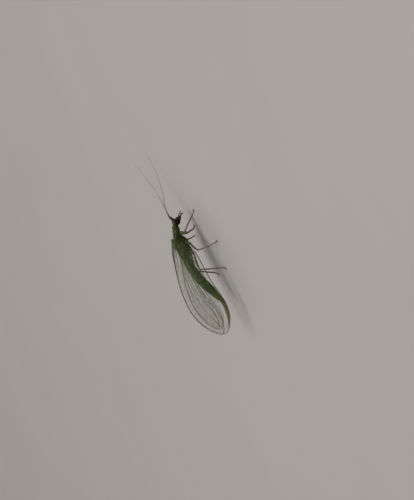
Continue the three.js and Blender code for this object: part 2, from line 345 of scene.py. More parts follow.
# %% [markdown]
# ## Leg, feeler and hair cuticle
# Legs are the same cuticle drawn out thin: greyish brown, green near the body, with brown feet. The
# feelers are brown at their root and fade to straw. Hairs, called setae, are dark, stiff and
# slightly see-through, and a plain dull brown reads well at their size.

# %% Limb, feeler and seta cuticle
def limb_cuticle(tree):
    base = blotched(tree, 0.4, [(0.3, "#51483a"), (0.55, "#6a5f4b"), (0.8, "#82785f")])
    colour = zoned(tree, base, [("joint", "#4b3a28"), ("near_body", "#3f5020"), ("foot", "#4a362b")])
    fine, = mottling(tree, (0.03, 3))
    return surface(tree, colour, fine, 0.004, {"IOR": CUTICLE_IOR, "Roughness": 0.5})


def feeler_cuticle(tree):
    outward = node(tree, "Attribute", "Fac", attribute_name="outward")
    fade = node(tree, "ValToRGB", "Color", {"Fac": outward}, [
        (0.0, "#3c2415"), (0.06, "#5e4836"), (0.16, "#8f8472"), (0.35, "#a89e8d"), (1.0, "#b9af9d")])
    fine, = mottling(tree, (0.03, 3))
    return surface(tree, zoned(tree, fade, [("joint", "#54412f")]), fine, 0.003, {
        "IOR": CUTICLE_IOR, "Roughness": 0.55})


def seta_cuticle(tree):
    tint = blotched(tree, 0.5, [(0.3, "#3a3420"), (0.7, "#5d5638")])
    return node(tree, "BsdfPrincipled", "BSDF", {**WAXY, "Base Color": tint, "Roughness": 0.6})


LIMB = material_of("chitin_cuticle_limb", limb_cuticle)
FEELER = material_of("chitin_cuticle_feeler", feeler_cuticle)
SETA = material_of("chitin_seta", seta_cuticle)

# %% [markdown]
# ## Wing membrane and veins
# The membrane is two layers of cuticle pressed to a film a few thousandths of a millimetre thick.
# It is clear and slightly smoky, and shines most where light grazes it. Glass would bend the light
# behind it, which a film this thin doesn't, so alpha makes it see-through, and alpha rises where the
# film is seen edge-on. Near the front edge, before the tip, the membrane carries a brown band that is
# partly a stain and partly painted shade, standing for the shaded body and floor seen through the
# near wing. The veins are tubes of green-brown cuticle, darker along the edges and green where they
# spring from the body.

# %% Wing finishes
def wing_membrane(tree):
    smoke = blotched(tree, 1.2, [(0.35, "#3d4019"), (0.7, "#55582a")])
    # the front-edge band is partly a brown stain and partly painted shade: it thickens the film and lays its
    # brown over the smoke
    stigma = node(tree, "Attribute", "Fac", attribute_name="stigma")
    stain_and_shade_cover = node(tree, "MapRange", "Result", {"Value": stigma, "To Min": 0.023, "To Max": 0.8})
    grazing = node(tree, "LayerWeight", "Facing", {"Blend": 0.5})
    gleam = node(tree, "Math", "Value", {0: grazing, 1: 5.0}, operation="POWER")
    sheen = node(tree, "Math", "Value", {0: gleam, 1: 0.3}, operation="MULTIPLY")
    cover = node(tree, "Math", "Value", {0: stain_and_shade_cover, 1: sheen}, operation="MAXIMUM")
    coarse, fine = mottling(tree, (0.5, 2), (0.09, 2))
    wrinkles = node(tree, "Math", "Value", {0: coarse, 1: fine}, operation="ADD")
    colour = zoned(tree, smoke, [("stigma", "#453f16")])
    return surface(tree, colour, wrinkles, 0.01, {**WAXY, "Alpha": cover, "Roughness": 0.22})


def vein_cuticle(tree):
    base = blotched(tree, 0.9, [(0.3, "#5c5f38"), (0.6, "#72754b"), (0.8, "#85885f")])
    colour = zoned(tree, base, [("edge", "#3f3d2a"), ("near_body", "#28350f")])
    fine, = mottling(tree, (0.05, 2))
    return surface(tree, colour, fine, 0.004, {**WAXY, "Roughness": 0.5})


MEMBRANE = material_of("wing_membrane_cuticle", wing_membrane)
VEIN = material_of("wing_vein_cuticle", vein_cuticle)

# %% [markdown]
# ## Hairs
# Setae stand on nearly every part. Each is a slim three-sided spike of seven faces that bends a
# little and leans towards the tip of what it grows on. They are gathered into a few meshes, with
# one small patch of the bake map for each hair at the place of its root.

# %% A hair spike
chance = np.random.default_rng(7)


def square_to(direction):
    """A random direction square to the given one."""
    spread = chance.normal(0, 1, 3)
    return unit(spread - direction * (spread @ direction))


def map_place(value):
    """A share from 0 to 1, kept off the border of the bake map."""
    return 0.02 + 0.95 * value


def add_hair(gather, root, direction, length, thick, droop=(0, 0, 0), patch=(0.5, 0.5)):
    """A bent three-sided spike from root along direction, bending towards droop."""
    direction = unit(direction)
    helper = np.array((0.3, 0.5, 0.81)) if abs(direction[2]) < 0.8 else np.array((0.9, 0.3, 0.1))
    side = unit(np.cross(direction, helper))
    other = np.cross(direction, side)
    root = np.asarray(root, float)
    middle = root + direction * length * 0.55
    tip = root + direction * length + np.asarray(droop, float) * length
    corners = [math.cos(a) * side + math.sin(a) * other for a in (0.5, 2.6, 4.7)]
    base = [root + thick * corner for corner in corners]
    waist = [middle + 0.6 * thick * corner for corner in corners]
    faces = [[2, 1, 0]]
    for i in range(3):
        j = (i + 1) % 3
        faces.append([i, j, 3 + j, 3 + i])
        faces.append([3 + i, 3 + j, 6])
    gather.add([*base, *waist, tip], faces, patch=patch)


sample = Faces()
add_hair(sample, (0, 0, 0), (0, 0, 1), 1.0, 0.1)
print("one hair has", sample.count, "points and", len(sample.faces), "faces")

# %% [markdown]
# ## The body skin
# Thorax and abdomen are one run of rings, so one skin stands for all four CAD nodes and no seam
# shows. Each ring is an ellipse whose width, height and middle are read off a few listed stations.
# Lobes of the back, furrows between the rings and the fold along each flank are then added as small
# hills and valleys on that surface.

# %% Stations of the body
# place, middle height, half width, half height
BODY = [
    (1.92, 2.90, 0.26, 0.3), (1.82, 2.92, 0.37, 0.42), (1.62, 2.96, 0.46, 0.49), (1.3, 3.03, 0.50, 0.51),
    (1.0, 3.13, 0.55, 0.53), (0.7, 3.24, 0.57, 0.56), (0.45, 3.31, 0.54, 0.58), (0.28, 3.34, 0.56, 0.64),
    (0.1, 3.38, 0.74, 0.80), (-0.2, 3.41, 0.94, 0.97), (-0.6, 3.40, 1.0, 1.02), (-1.0, 3.38, 0.96, 0.98),
    (-1.3, 3.36, 0.86, 0.92), (-1.7, 3.35, 0.88, 0.94), (-2.2, 3.38, 0.8, 0.88), (-2.6, 3.49, 0.62, 0.70),
    (-2.85, 3.59, 0.52, 0.55), (-3.2, 3.64, 0.56, 0.57), (-4.0, 3.66, 0.59, 0.60), (-5.0, 3.55, 0.60, 0.61),
    (-6.2, 3.31, 0.61, 0.63), (-7.1, 3.02, 0.61, 0.64), (-8.0, 2.71, 0.57, 0.59), (-8.8, 2.46, 0.47, 0.48),
    (-9.4, 2.27, 0.36, 0.36), (-9.9, 2.11, 0.26, 0.26), (-10.2, 2.01, 0.16, 0.15), (-10.3, 1.97, 0.05, 0.05),
]
# seams between the rings of the abdomen, and between the three parts of the thorax
RINGS = [-2.85, -3.5, -4.25, -5.05, -5.85, -6.65, -7.45, -8.15, -8.75, -9.3, -9.8]
THORAX_SEAMS = [1.48, 0.78, 0.26, -1.32, -2.74]
ABDOMEN_START = -2.8
BODY_RINGS = 420
BODY_SIDES = 112

stations = smooth(BODY, BODY_RINGS)
body_x = stations[:, 0]


def body_section(x):
    """Middle height, half width and half height of the body at a place along it."""
    order = np.argsort(body_x)
    return [float(np.interp(x, body_x[order], stations[order, k])) for k in (1, 2, 3)]


def hill(value, middle, width):
    """1 at the middle, falling softly to nothing a few widths away."""
    return np.exp(-((value - middle) / width) ** 2)


print("body is", round(body_x[0] - body_x[-1], 2), "mm long")

# %% [markdown]
# ## Rings, seams and folds
# The abdomen is a row of rings, each a little wider at its rear edge and tucked into the next, with
# a soft fold along the flank where it can swell. The thorax has seams between its three parts. Each
# is a valley given in millimetres along the body, and the same sums say where painted shade darkens
# the creases.

# %% Rings, seams and folds
def fold_rings(swell, crease, x, up):
    """Adds seams and folds, with the painted shade in them, in place. up runs from 0 along the back to pi
    along the belly.
    """
    for start, end in zip(RINGS[:-1], RINGS[1:]):
        inside = (x <= start) & (x > end)
        part = (start - x) / (start - end)
        swell += np.where(inside, 0.035 * part - 0.012, 0)
    for seam in RINGS:
        crease += hill(x, seam, 0.035) * 0.8
        swell -= hill(x, seam, 0.04) * 0.05
    for seam in THORAX_SEAMS:
        crease += hill(x, seam, 0.05) * 0.75
        swell -= hill(x, seam, 0.07) * 0.07
    flank = hill(up, 1.75, 0.13) * hill(np.minimum(x, -3.0), -3.0, 8.0) * (x < ABDOMEN_START)
    swell -= 0.06 * flank
    crease += 0.5 * flank


print("rings of the abdomen:", len(RINGS))

# %% [markdown]
# ## Lobes of the thorax
# The back of the thorax carries the humps of the flight muscles, parted by a groove, with a small
# shield behind each pair. The flanks have slanting seams, and bulges that the hips hang from. The
# collar is raised, with a shallow furrow behind it.

# %% Lobes of the thorax
MUSCLE_HUMPS = [(-0.3, 0.34), (-1.68, 0.22)]
SHIELDS = [(-0.98, 0.17), (-2.12, 0.14)]
FLANK_SEAMS = [(-0.15, 0.10), (-0.75, 0.12), (-1.85, 0.10)]
HIP_BULGES = [(-0.75, 0.4, 2.5), (-2.0, 0.42, 2.45)]


def raise_lobes(swell, crease, x, up):
    """Adds the humps, shields, flank seams and bulges of the thorax, with painted shade in the seams and
    behind the shields, in place.
    """
    for place, reach in MUSCLE_HUMPS:
        swell += 0.12 * hill(x, place, reach) * hill(up, 0.62, 0.3)
        swell -= 0.09 * hill(x, place, reach * 1.2) * hill(up, 0.0, 0.16)
    for place, reach in SHIELDS:
        swell += 0.13 * hill(x, place, reach) * hill(up, 0.0, 0.32)
        crease += 0.6 * hill(x, place + reach * 1.7, 0.04) * hill(up, 0.0, 0.8)
    for place, lean in FLANK_SEAMS:
        seam = hill(x, place - lean * (up - 1.6), 0.045) * hill(up, 1.8, 0.55)
        swell -= 0.06 * seam
        crease += 0.7 * seam
    for place, reach, out in HIP_BULGES:
        swell += 0.16 * hill(x, place, reach) * hill(up, out, 0.42)
    swell += 0.04 * hill(x, 1.15, 0.2) * hill(up, 0.5, 0.4)
    swell -= 0.05 * hill(x, 0.98, 0.06) * hill(up, 0.0, 1.0)


print("humps, shields and bulges:", len(MUSCLE_HUMPS) + len(SHIELDS) + len(HIP_BULGES))

# %% [markdown]
# ## The finished skin
# The swellings are added to the ellipse of each ring, less where the body is slim. The back line,
# the painted shade of the creases, the tail and the abdomen ride along as attributes for the green
# finish.

# %% Body skin
def body_skin():
    angle = 2 * np.pi * np.arange(BODY_SIDES) / BODY_SIDES
    x = body_x[:, None]
    up = np.abs(np.arctan2(np.cos(angle), np.sin(angle)))[None, :]
    swell = np.zeros((BODY_RINGS, BODY_SIDES))
    crease = np.zeros_like(swell)
    fold_rings(swell, crease, x, up)
    raise_lobes(swell, crease, x, up)
    middle, wide, high = (stations[:, k][:, None] for k in (1, 2, 3))
    swell = swell * np.clip(wide / 0.5, 0.25, 1.0)
    y = (wide + swell) * np.cos(angle)
    z = middle + (high + swell) * np.sin(angle)
    points = np.stack([np.broadcast_to(x, y.shape), y, z], axis=2).reshape(-1, 3)
    # crease is painted shade, dark in the creases and seams
    zones = {"back_line": hill(up, 0.0, 0.28) * 0.85, "crease": np.clip(crease, 0, 1),
             "tail": 0.8 * np.clip((-8.4 - x) / 1.2, 0, 1), "abdomen": np.clip((-2.7 - x) / 0.4, 0, 1)}
    gather = Faces()
    gather.add(points, ring_faces(BODY_RINGS, BODY_SIDES),
               **{name: np.broadcast_to(value, swell.shape).ravel() for name, value in zones.items()})
    make("body_skin", gather, GREEN, "thorax", "prothorax", "mesothorax", "metathorax", "abdomen")


body_skin()

# %% [markdown]
# ## Fine hairs on the body
# Short brown setae stand all over the thorax and abdomen, shorter on the abdomen. They lean towards
# the tail. Real ones are finer, but would not show at this size.

# %% Body hairs
BODY_HAIRS = 2600
BODY_HAIR_LENGTHS = (0.12, 0.24)
HAIR_SUNK = 0.03


def body_hairs():
    gather = Faces()
    for _ in range(BODY_HAIRS):
        x = float(chance.uniform(-10.0, 1.4))
        angle = float(chance.uniform(0, 2 * math.pi))
        middle, wide, high = body_section(x)
        outward = unit(np.array((0.0, math.cos(angle) / wide, math.sin(angle) / high)))
        root = np.array((x, wide * math.cos(angle), middle + high * math.sin(angle))) - outward * HAIR_SUNK
        lean = outward + np.array((-0.9, 0, 0)) + chance.normal(0, 0.15, 3)
        length = float(chance.uniform(*BODY_HAIR_LENGTHS)) * (0.7 if x < ABDOMEN_START else 1.0)
        patch = (map_place((x + 10.5) / 12.5), map_place(angle / (2 * math.pi)))
        add_hair(gather, root, lean, length + HAIR_SUNK, 0.0045, (-0.25, 0, -0.05), patch)
    make("body_hairs", gather, SETA, "thorax")


body_hairs()

# %% [markdown]
# ## The head
# The head hangs mouth down from a short neck, with a rounded crown, flat cheeks and a blunt snout.
# It is a tube of rings from crown to mouth, wider than deep, with a groove above the snout. Hard
# jaws and a small upper lip close its lower end.

# %% Head capsule
HEAD_PATH = [(1.96, 0, 3.1), (2.0, 0, 2.98), (2.1, 0, 2.62), (2.28, 0, 2.2), (2.48, 0, 1.82), (2.6, 0, 1.64)]
# how far down the head, from crown to mouth, and the half width and half depth there
HEAD_GIRTH = [(0, 0.02, 0.02), (0.04, 0.2, 0.22), (0.12, 0.38, 0.40), (0.3, 0.54, 0.52),
              (0.5, 0.56, 0.47), (0.7, 0.44, 0.34), (0.88, 0.3, 0.25), (1, 0.17, 0.13)]
HEAD_RINGS = 72
HEAD_SIDES = 72
CROWN_HEIGHT = 2.62


def face_relief(down, ahead):
    """Swellings and grooves, by how far down the head and how far round from the front."""
    swell = 0.05 * hill(down, 0.72, 0.08) * hill(ahead, 0.0, 0.7)
    swell -= 0.045 * hill(down, 0.60, 0.03) * hill(ahead, 0.0, 1.0)
    swell -= 0.04 * hill(down, 0.83, 0.025) * hill(ahead, 0.0, 1.2)
    swell -= 0.03 * hill(down, 0.16, 0.03) * hill(ahead, 0.0, 0.12)
    swell += 0.03 * hill(down, 0.80, 0.1) * hill(ahead, 1.5, 0.4)
    return swell


def head_shell(gather):
    path = smooth(HEAD_PATH, HEAD_RINGS)
    down = np.linspace(0, 1, HEAD_RINGS)
    wide, deep = (smooth([(row[0], row[k]) for row in HEAD_GIRTH], 200).T for k in (1, 2))
    wide, deep = np.interp(down, *wide), np.interp(down, *deep)
    along = unit(np.gradient(path, axis=0))
    side = np.array((0.0, 1.0, 0.0))
    front = np.cross(side, along)
    front *= np.sign(front[:, :1] + 1e-9)
    angle = 2 * np.pi * np.arange(HEAD_SIDES) / HEAD_SIDES
    ahead = np.abs(np.arctan2(np.cos(angle), np.sin(angle)))[None, :]
    swell = face_relief(down[:, None], ahead)
    ring_y = np.cos(angle)[None, :] * (wide[:, None] + swell)
    ring_x = np.sin(angle)[None, :] * (deep[:, None] + swell)
    points = path[:, None, :] + ring_y[..., None] * side + ring_x[..., None] * front[:, None, :]
    crown = np.clip((points[..., 2] - CROWN_HEIGHT) / 0.25, 0, 1) * np.clip(1.25 - ahead * 0.35, 0, 1)
    cheek = hill(down[:, None], 0.55, 0.17) * hill(ahead, 1.5, 0.7)
    gather.add(points.reshape(-1, 3), ring_faces(HEAD_RINGS, HEAD_SIDES), crown=crown.ravel(),
               cheek=cheek.ravel())


def lip_and_jaws(gather):
    t = np.linspace(0, 1, 12)
    lip = smooth([(2.5, 0, 1.86), (2.66, 0, 1.66), (2.66, 0, 1.5)], 12)
    add_tube(gather, lip, ramp([(0, 0.1), (0.4, 0.15), (0.85, 0.12), (1, 0.04)], t), 16, 0.4)
    for sign in (-1, 1):
        jaw = smooth([(2.5, 0.2 * sign, 1.78), (2.62, 0.19 * sign, 1.58), (2.66, 0.06 * sign, 1.44)], 12)
        add_tube(gather, jaw, ramp([(0, 0.1), (0.5, 0.09), (1, 0.015)], t), 12, 0.7)


capsule = Faces()
head_shell(capsule)
lip_and_jaws(capsule)
make("head_capsule", capsule, BROWN, "head", "head")

# %% [markdown]
# ## Compound eyes
# Each eye is a hemisphere on the side of the head. The lenses are set out by the golden-angle
# spiral, which spaces points evenly over a dome, and each is a low six-sided bead. Real lenses are
# about 0.02 mm across; these are about 0.06 mm so that they still show.

# %% Faceted eyes
EYE_MIDDLE = (2.08, 0.42, 2.48)
EYE_SIZE = (0.40, 0.46, 0.44)
LENS_COUNT = 520
LENS_RADIUS = 0.031
GOLDEN_ANGLE = math.pi * (3 - math.sqrt(5))


def compound_eye(name, sign):
    gather = Faces()
    middle = np.array(EYE_MIDDLE) * (1, sign, 1)
    size = np.array(EYE_SIZE)
    rows, columns = 28, 48
    points = []
    for r in range(rows):
        tilt = math.pi * (r + 0.5) / rows
        for c in range(columns):
            turn = 2 * math.pi * c / columns
            out = np.array((math.sin(tilt) * math.cos(turn), math.cos(tilt), math.sin(tilt) * math.sin(turn)))
            points.append(middle + out * size * 0.985)
    gather.add(points, ring_faces(rows, columns))
    for i in range(LENS_COUNT):
        height = 1 - (i + 0.5) / LENS_COUNT * 1.02
        flat = math.sqrt(max(0.0, 1 - height * height))
        out = np.array((flat * math.cos(i * GOLDEN_ANGLE), sign * height, flat * math.sin(i * GOLDEN_ANGLE)))
        centre = middle + out * size
        normal = unit(out / size)
        side = unit(np.cross(normal, (0.0, 0.0, 1.0) if abs(normal[2]) < 0.9 else (1.0, 0.0, 0.0)))
        other = np.cross(normal, side)
        bead = []
        for radius, lift in ((1.0, -0.008), (0.62, 0.008)):
            for k in range(6):
                a = math.pi * k / 3
                bead.append(centre + normal * lift
                            + LENS_RADIUS * radius * (math.cos(a) * side + math.sin(a) * other))
        bead.append(centre + normal * 0.012)
        faces = [[k, (k + 1) % 6, 6 + (k + 1) % 6, 6 + k] for k in range(6)]
        faces += [[6 + k, 6 + (k + 1) % 6, 12] for k in range(6)] + [[5, 4, 3, 2, 1, 0]]
        gather.add(bead, faces)
    make(name, gather, LENSES, "eye", name)


SIDES = {"right": -1, "left": 1}
for side_name, sign in SIDES.items():
    compound_eye(f"eye_{side_name}", sign)

# %% [markdown]
# ## Feelers
# A lacewing's feeler has a stout first joint that stands in a raised rim, a small round second, and
# then a whip of eighty or more tiny rings. In life the whip is nearly as long as the forewing, and
# here it is about 10 mm. It is one tube whose radius swells at each ring, with a whorl of short hairs
# on each one.

# %% Feelers and their hairs
FEELERS = {
    "right": [(2.78, -0.17, 2.86), (3.05, -0.32, 3.02), (3.42, -0.5, 3.12), (4.56, -0.95, 3.17),
              (6.4, -1.9, 2.8), (8.9, -3.05, 2.6), (11.7, -4.0, 2.7)],
    "left": [(2.78, 0.17, 2.86), (3.05, 0.28, 2.95), (3.42, 0.42, 2.96), (4.56, 0.62, 2.86),
             (6.72, 1.15, 2.7), (9.4, 1.9, 2.9), (12.05, 2.7, 3.25)],
}
WHIP_RINGS = 84
WHIP_STEPS = 6
WHIP_SIDES = 8
WHIP_START = 0.045
WHIP_TIP_RADIUS = 0.018
WHIP_TAPER = 0.05
HAIRS_PER_RING = 5


def feeler(name, sign):
    path = smooth(FEELERS[name], WHIP_RINGS * WHIP_STEPS + 1)
    away = np.linspace(0, 1, len(path))
    phase = (np.arange(len(path)) % WHIP_STEPS) / WHIP_STEPS
    radius = WHIP_TAPER * (1 - away) + WHIP_TIP_RADIUS
    radius = radius * (1 + 0.16 * np.sin(math.pi * phase))
    joint = np.where(phase == 0, 0.7, 0.0)
    gather = Faces()
    keep = away > WHIP_START
    add_tube(gather, path[keep], radius[keep], WHIP_SIDES, outward=away[keep], joint=joint[keep])
    make(f"antenna_{name}", gather, FEELER, "feeler", f"antenna_{name}")
    base = Faces()
    root = smooth([(2.5, 0.2 * sign, 2.74), *FEELERS[name][:2]], 20)
    add_tube(base, root, ramp([(0, 0.14), (0.35, 0.16), (0.6, 0.15), (0.9, 0.13), (1, 0.09)],
                              np.linspace(0, 1, 20)), 18, cheek=0.2)
    second = smooth([FEELERS[name][1], tuple(path[int(0.05 * len(path))])], 10)
    add_tube(base, second, 0.06 + 0.045 * np.sin(np.linspace(0.3, 2.9, 10)), 16, cheek=0.2)
    rim = smooth([(2.44, 0.19 * sign, 2.72), (2.58, 0.2 * sign, 2.76)], 6)
    add_tube(base, rim, [0.2, 0.21, 0.215, 0.21, 0.2, 0.16], 20, cheek=0.0)
    make(f"scape_{name}", base, BROWN, "feeler", f"scape_{name}")
    hairs = Faces()
    for ring in range(6, WHIP_RINGS * WHIP_STEPS, WHIP_STEPS):
        if not keep[ring]:
            continue
        direction = unit(path[min(ring + 1, len(path) - 1)] - path[ring - 1])
        for k in range(HAIRS_PER_RING):
            spread = square_to(direction)
            patch = (map_place(float(away[ring])), 0.1 + 0.15 * k)
            add_hair(hairs, path[ring] + spread * radius[ring] * 0.8, direction * 1.2 + spread,
                     0.10, 0.004, direction * 0.2, patch)
    make(f"antenna_hairs_{name}", hairs, SETA, "feeler")


for side_name, sign in SIDES.items():
    feeler(side_name, sign)

# %% [markdown]
# ## Mouth feelers
# Below the head hang two pairs of palps, short jointed fingers that the insect tastes with. The
# longer pair has five joints and the shorter three, each a small spindle.

# %% Palps
PALPS = {
    "right": [[(2.5, -0.3, 1.76), (2.62, -0.34, 1.6), (2.72, -0.36, 1.4), (2.76, -0.36, 1.14)],
              [(2.56, -0.14, 1.6), (2.72, -0.16, 1.42), (2.82, -0.16, 1.2)]],
    "left": [[(2.66, 0.3, 1.76), (2.9, 0.36, 1.6), (3.02, 0.4, 1.38), (3.12, 0.42, 1.04)],
             [(2.6, 0.14, 1.6), (2.78, 0.16, 1.44), (2.9, 0.18, 1.24)]],
}


def palps(name):
    gather = Faces()
    for points, joints, thick in zip(PALPS[name], (5, 3), (0.062, 0.05)):
        steps = joints * 8 + 1
        path = smooth(points, steps)
        phase = np.linspace(0, joints, steps) % 1
        radius = thick * (0.7 + 0.4 * np.sin(math.pi * phase))
        radius[-1] = 0.012
        radius[0] = thick
        add_tube(gather, path, radius, 12, cheek=0.35)
    make(f"palp_{name}", gather, BROWN, "feeler", f"palp_{name}")


for side_name in SIDES:
    palps(side_name)

# %% [markdown]
# ## Legs
# A leg runs from a cone-shaped hip joint through a small ring to the thigh, the long shin and five
# short foot joints with two claws and a pad. Each joint is its own tube, a little thicker at its
# ends, so that the leg bends where a real one bends. Hips grow from the underside of the thorax.

# %% Leg joints
# hip, ring joint, knee, ankle and toe of each leg
LEGS = {
    "foreleg_right": [(0.6, -0.35, 2.85), (0.2, -0.78, 2.1), (0.52, -1.7, 2.42),
                      (1.66, -1.6, 0.88), (2.46, -1.5, 0.08)],
    "foreleg_left": [(0.6, 0.35, 2.85), (0.3, 0.74, 2.1), (0.16, 1.3, 1.42),
                     (0.3, 1.65, 0.4), (0.64, 1.88, 0.08)],
    "midleg_right": [(-0.75, -0.6, 2.9), (-1.35, -1.0, 2.42), (-2.55, -2.35, 2.3),
                     (-2.8, -4.0, 1.08), (-2.68, -4.8, 0.08)],
    "midleg_left": [(-0.6, 0.6, 2.9), (-0.7, 0.95, 2.2), (-0.52, 2.1, 2.26),
                    (-0.65, 3.6, 0.8), (-0.6, 4.38, 0.08)],
    "hindleg_right": [(-1.9, -0.45, 2.95), (-2.75, -0.78, 2.62), (-4.95, -1.3, 3.05),
                      (-5.9, -2.0, 1.0), (-6.52, -2.25, 0.08)],
    "hindleg_left": [(-1.9, 0.45, 2.95), (-2.75, 0.78, 2.6), (-4.9, 1.3, 2.9),
                     (-6.2, 2.35, 0.6), (-6.8, 2.68, 0.08)],
}
LEGS = {name: [np.array(point) for point in points] for name, points in LEGS.items()}
HIP_RADIUS = 0.3
THIGH_RADIUS = 0.125
SHIN_RADIUS = 0.095
FOOT_RADIUS = 0.07
FOOT_JOINTS = 5


def between(a, b, count, bow=(0, 0, 0)):
    """Points from a to b, bowed sideways in the middle."""
    a, b = np.array(a, float), np.array(b, float)
    t = np.linspace(0, 1, count)[:, None]
    return a + (b - a) * t + np.array(bow, float) * np.sin(np.pi * t)


def bead(gather, a, b, steps, radius, phases, sides, power=1.0, **values):
    """A short spindle from a to b: half a wave between the two phases gives its swell."""
    swell = np.sin(np.linspace(*phases, steps)) ** power
    add_tube(gather, between(a, b, steps), radius * swell, sides, **values)


print("longest leg reaches", round(max(float(np.linalg.norm(p[4] - p[0])) for p in LEGS.values()), 2), "mm")

# %% [markdown]
# ## Hip, thigh and shin
# The hip tapers, and is slimmer on a foreleg. The thigh bulges in the middle, where its muscle is.
# The shin is thinner and nearly even, with a knob at the knee and at the ankle. Attributes green the
# leg near the body and brown it at the joints.

# %% Upper leg
def upper_leg(gather, name):
    """Adds the leg down to the ankle and gives back the paths of the thigh and the shin."""
    hip, ring, knee, ankle = LEGS[name][:4]
    front = name.startswith("foreleg")
    t = np.linspace(0, 1, 24)
    girth = 0.85 - 0.38 * t if front else 1.05 - 0.5 * t
    add_tube(gather, between(hip, ring, 24), HIP_RADIUS * girth, 20, near_body=0.9)
    inward = ring + (ring - hip) * 0.06
    bead(gather, ring, inward, 8, 0.13, (0.5, 2.8), 16, joint=0.3, near_body=0.6)
    thigh = between(inward, knee, 30, (0, 0, 0.1))
    t = np.linspace(0, 1, 30)
    shape = 0.72 + 0.34 * np.sin(math.pi * np.clip(t * 1.05, 0, 1)) ** 0.8
    add_tube(gather, thigh, THIGH_RADIUS * shape, 18, joint=hill(t, 1.0, 0.06) * 0.8,
             near_body=(0.35 if front else 0.8) * (1 - t))
    shin = between(knee, ankle, 36, (0, 0, 0.06))
    t = np.linspace(0, 1, 36)
    shape = 0.85 + 0.25 * hill(t, 0.0, 0.05) + 0.12 * hill(t, 0.97, 0.06) + 0.12 * hill(t, 0.5, 0.3)
    shade = np.clip(hill(t, 0.0, 0.05) * 0.8 + hill(t, 1.0, 0.06) * 0.7, 0, 1)
    add_tube(gather, shin, SHIN_RADIUS * shape, 16, joint=shade)
    bead(gather, knee - (0, 0, 0.05), knee + (0, 0, 0.07), 9, 0.12, (0.3, 2.84), 14, joint=0.8)
    return thigh, shin


# %% [markdown]
# ## Foot and claws
# The foot comes down from the ankle and ends flat on the floor. Its five joints are one tube that
# swells five times. Two claws curve out and down past the last joint, with a soft pad between them.

# %% Foot
def foot_and_claws(gather, ankle, toe):
    """Adds the foot and gives back its path."""
    heading = np.array((toe[0] - ankle[0], toe[1] - ankle[1], 0))
    flat_from = toe - 0.14 * heading / math.hypot(heading[0], heading[1])
    steps = FOOT_JOINTS * 8 + 1
    foot = smooth([ankle, 0.5 * (ankle + flat_from) - (0, 0, 0.06),
                   (flat_from[0], flat_from[1], FOOT_RADIUS + 0.01), toe], steps)
    foot[:, 2] = np.maximum(foot[:, 2], FOOT_RADIUS * 1.05)
    phase = np.linspace(0, FOOT_JOINTS, steps) % 1
    radius = FOOT_RADIUS * (0.72 + 0.28 * np.sin(math.pi * phase))
    add_tube(gather, foot, radius, 12, foot=np.linspace(0.2, 1.0, steps))
    heading = unit((foot[-1] - foot[-4]) * (1, 1, 0))
    across = np.array((-heading[1], heading[0], 0.0))
    for sign in SIDES.values():
        root = foot[-1] + across * 0.02 * sign
        claw = smooth([root, root + heading * 0.09 + across * 0.06 * sign + (0, 0, 0.03),
                       root + heading * 0.16 + across * 0.09 * sign + (0, 0, -0.055)], 8)
        claw[:, 2] = np.maximum(claw[:, 2], 0.03)
        add_tube(gather, claw, np.linspace(0.028, 0.006, 8), 8, foot=1.0)
    bead(gather, foot[-1], foot[-1] + heading * 0.1, 6, 0.045, (0.6, 2.9), 10, flat=0.6, foot=0.5)
    return foot


# %% [markdown]
# ## Leg hairs and spurs
# Short hairs stand round the thigh, shin and foot and lean towards the claws. Two stout spurs close
# the shin. Hairs that would start at the floor are left off the sole.

# %% Hairs, then all six legs
SOLE_CLEAR = 0.06


def leg_hairs(name, coats, shin):
    hairs = Faces()
    for path, radius, rows, length in coats:
        for row in range(rows):
            place = int(chance.uniform(1, len(path) - 2))
            direction = unit(path[place + 1] - path[place - 1])
            spread = square_to(direction)
            root = path[place] + spread * radius * 0.75
            if root[2] < SOLE_CLEAR:
                continue
            patch = (map_place(place / len(path)), map_place(row / rows))
            add_hair(hairs, root, direction * 1.1 + spread, length, 0.005, direction * 0.15, patch)
    for sign in SIDES.values():
        direction = unit(shin[-1] - shin[-3])
        side = np.cross(direction, (0, 0, 1.0))
        add_hair(hairs, shin[-1] + side * 0.05 * sign, direction + side * 0.5 * sign, 0.16, 0.014)
    make(f"{name}_hairs", hairs, SETA, "leg")


for name, points in LEGS.items():
    gather = Faces()
    thigh, shin = upper_leg(gather, name)
    foot = foot_and_claws(gather, *points[3:])
    make(name, gather, LIMB, "leg", name)
    leg_hairs(name, ((thigh, THIGH_RADIUS, 60, 0.14), (shin, SHIN_RADIUS, 130, 0.17),
                     (foot, FOOT_RADIUS, 70, 0.1)), shin)

# %% [markdown]
# ## The shape of a wing
# A wing is set out by two curves, its hind margin along the ridge of the roof and its front margin
# low at the side. Any place on it is then two numbers: how far out it is, from root to tip, and how
# far across, from hind margin to front margin. The film bulges like a Gothic arch between them, and
# rises and falls a little between the main veins.

# %% Wing outlines
FORE_TIP = (-14.1, 0.84, 4.0)
HIND_TIP = (-13.3, 0.5, 4.2)
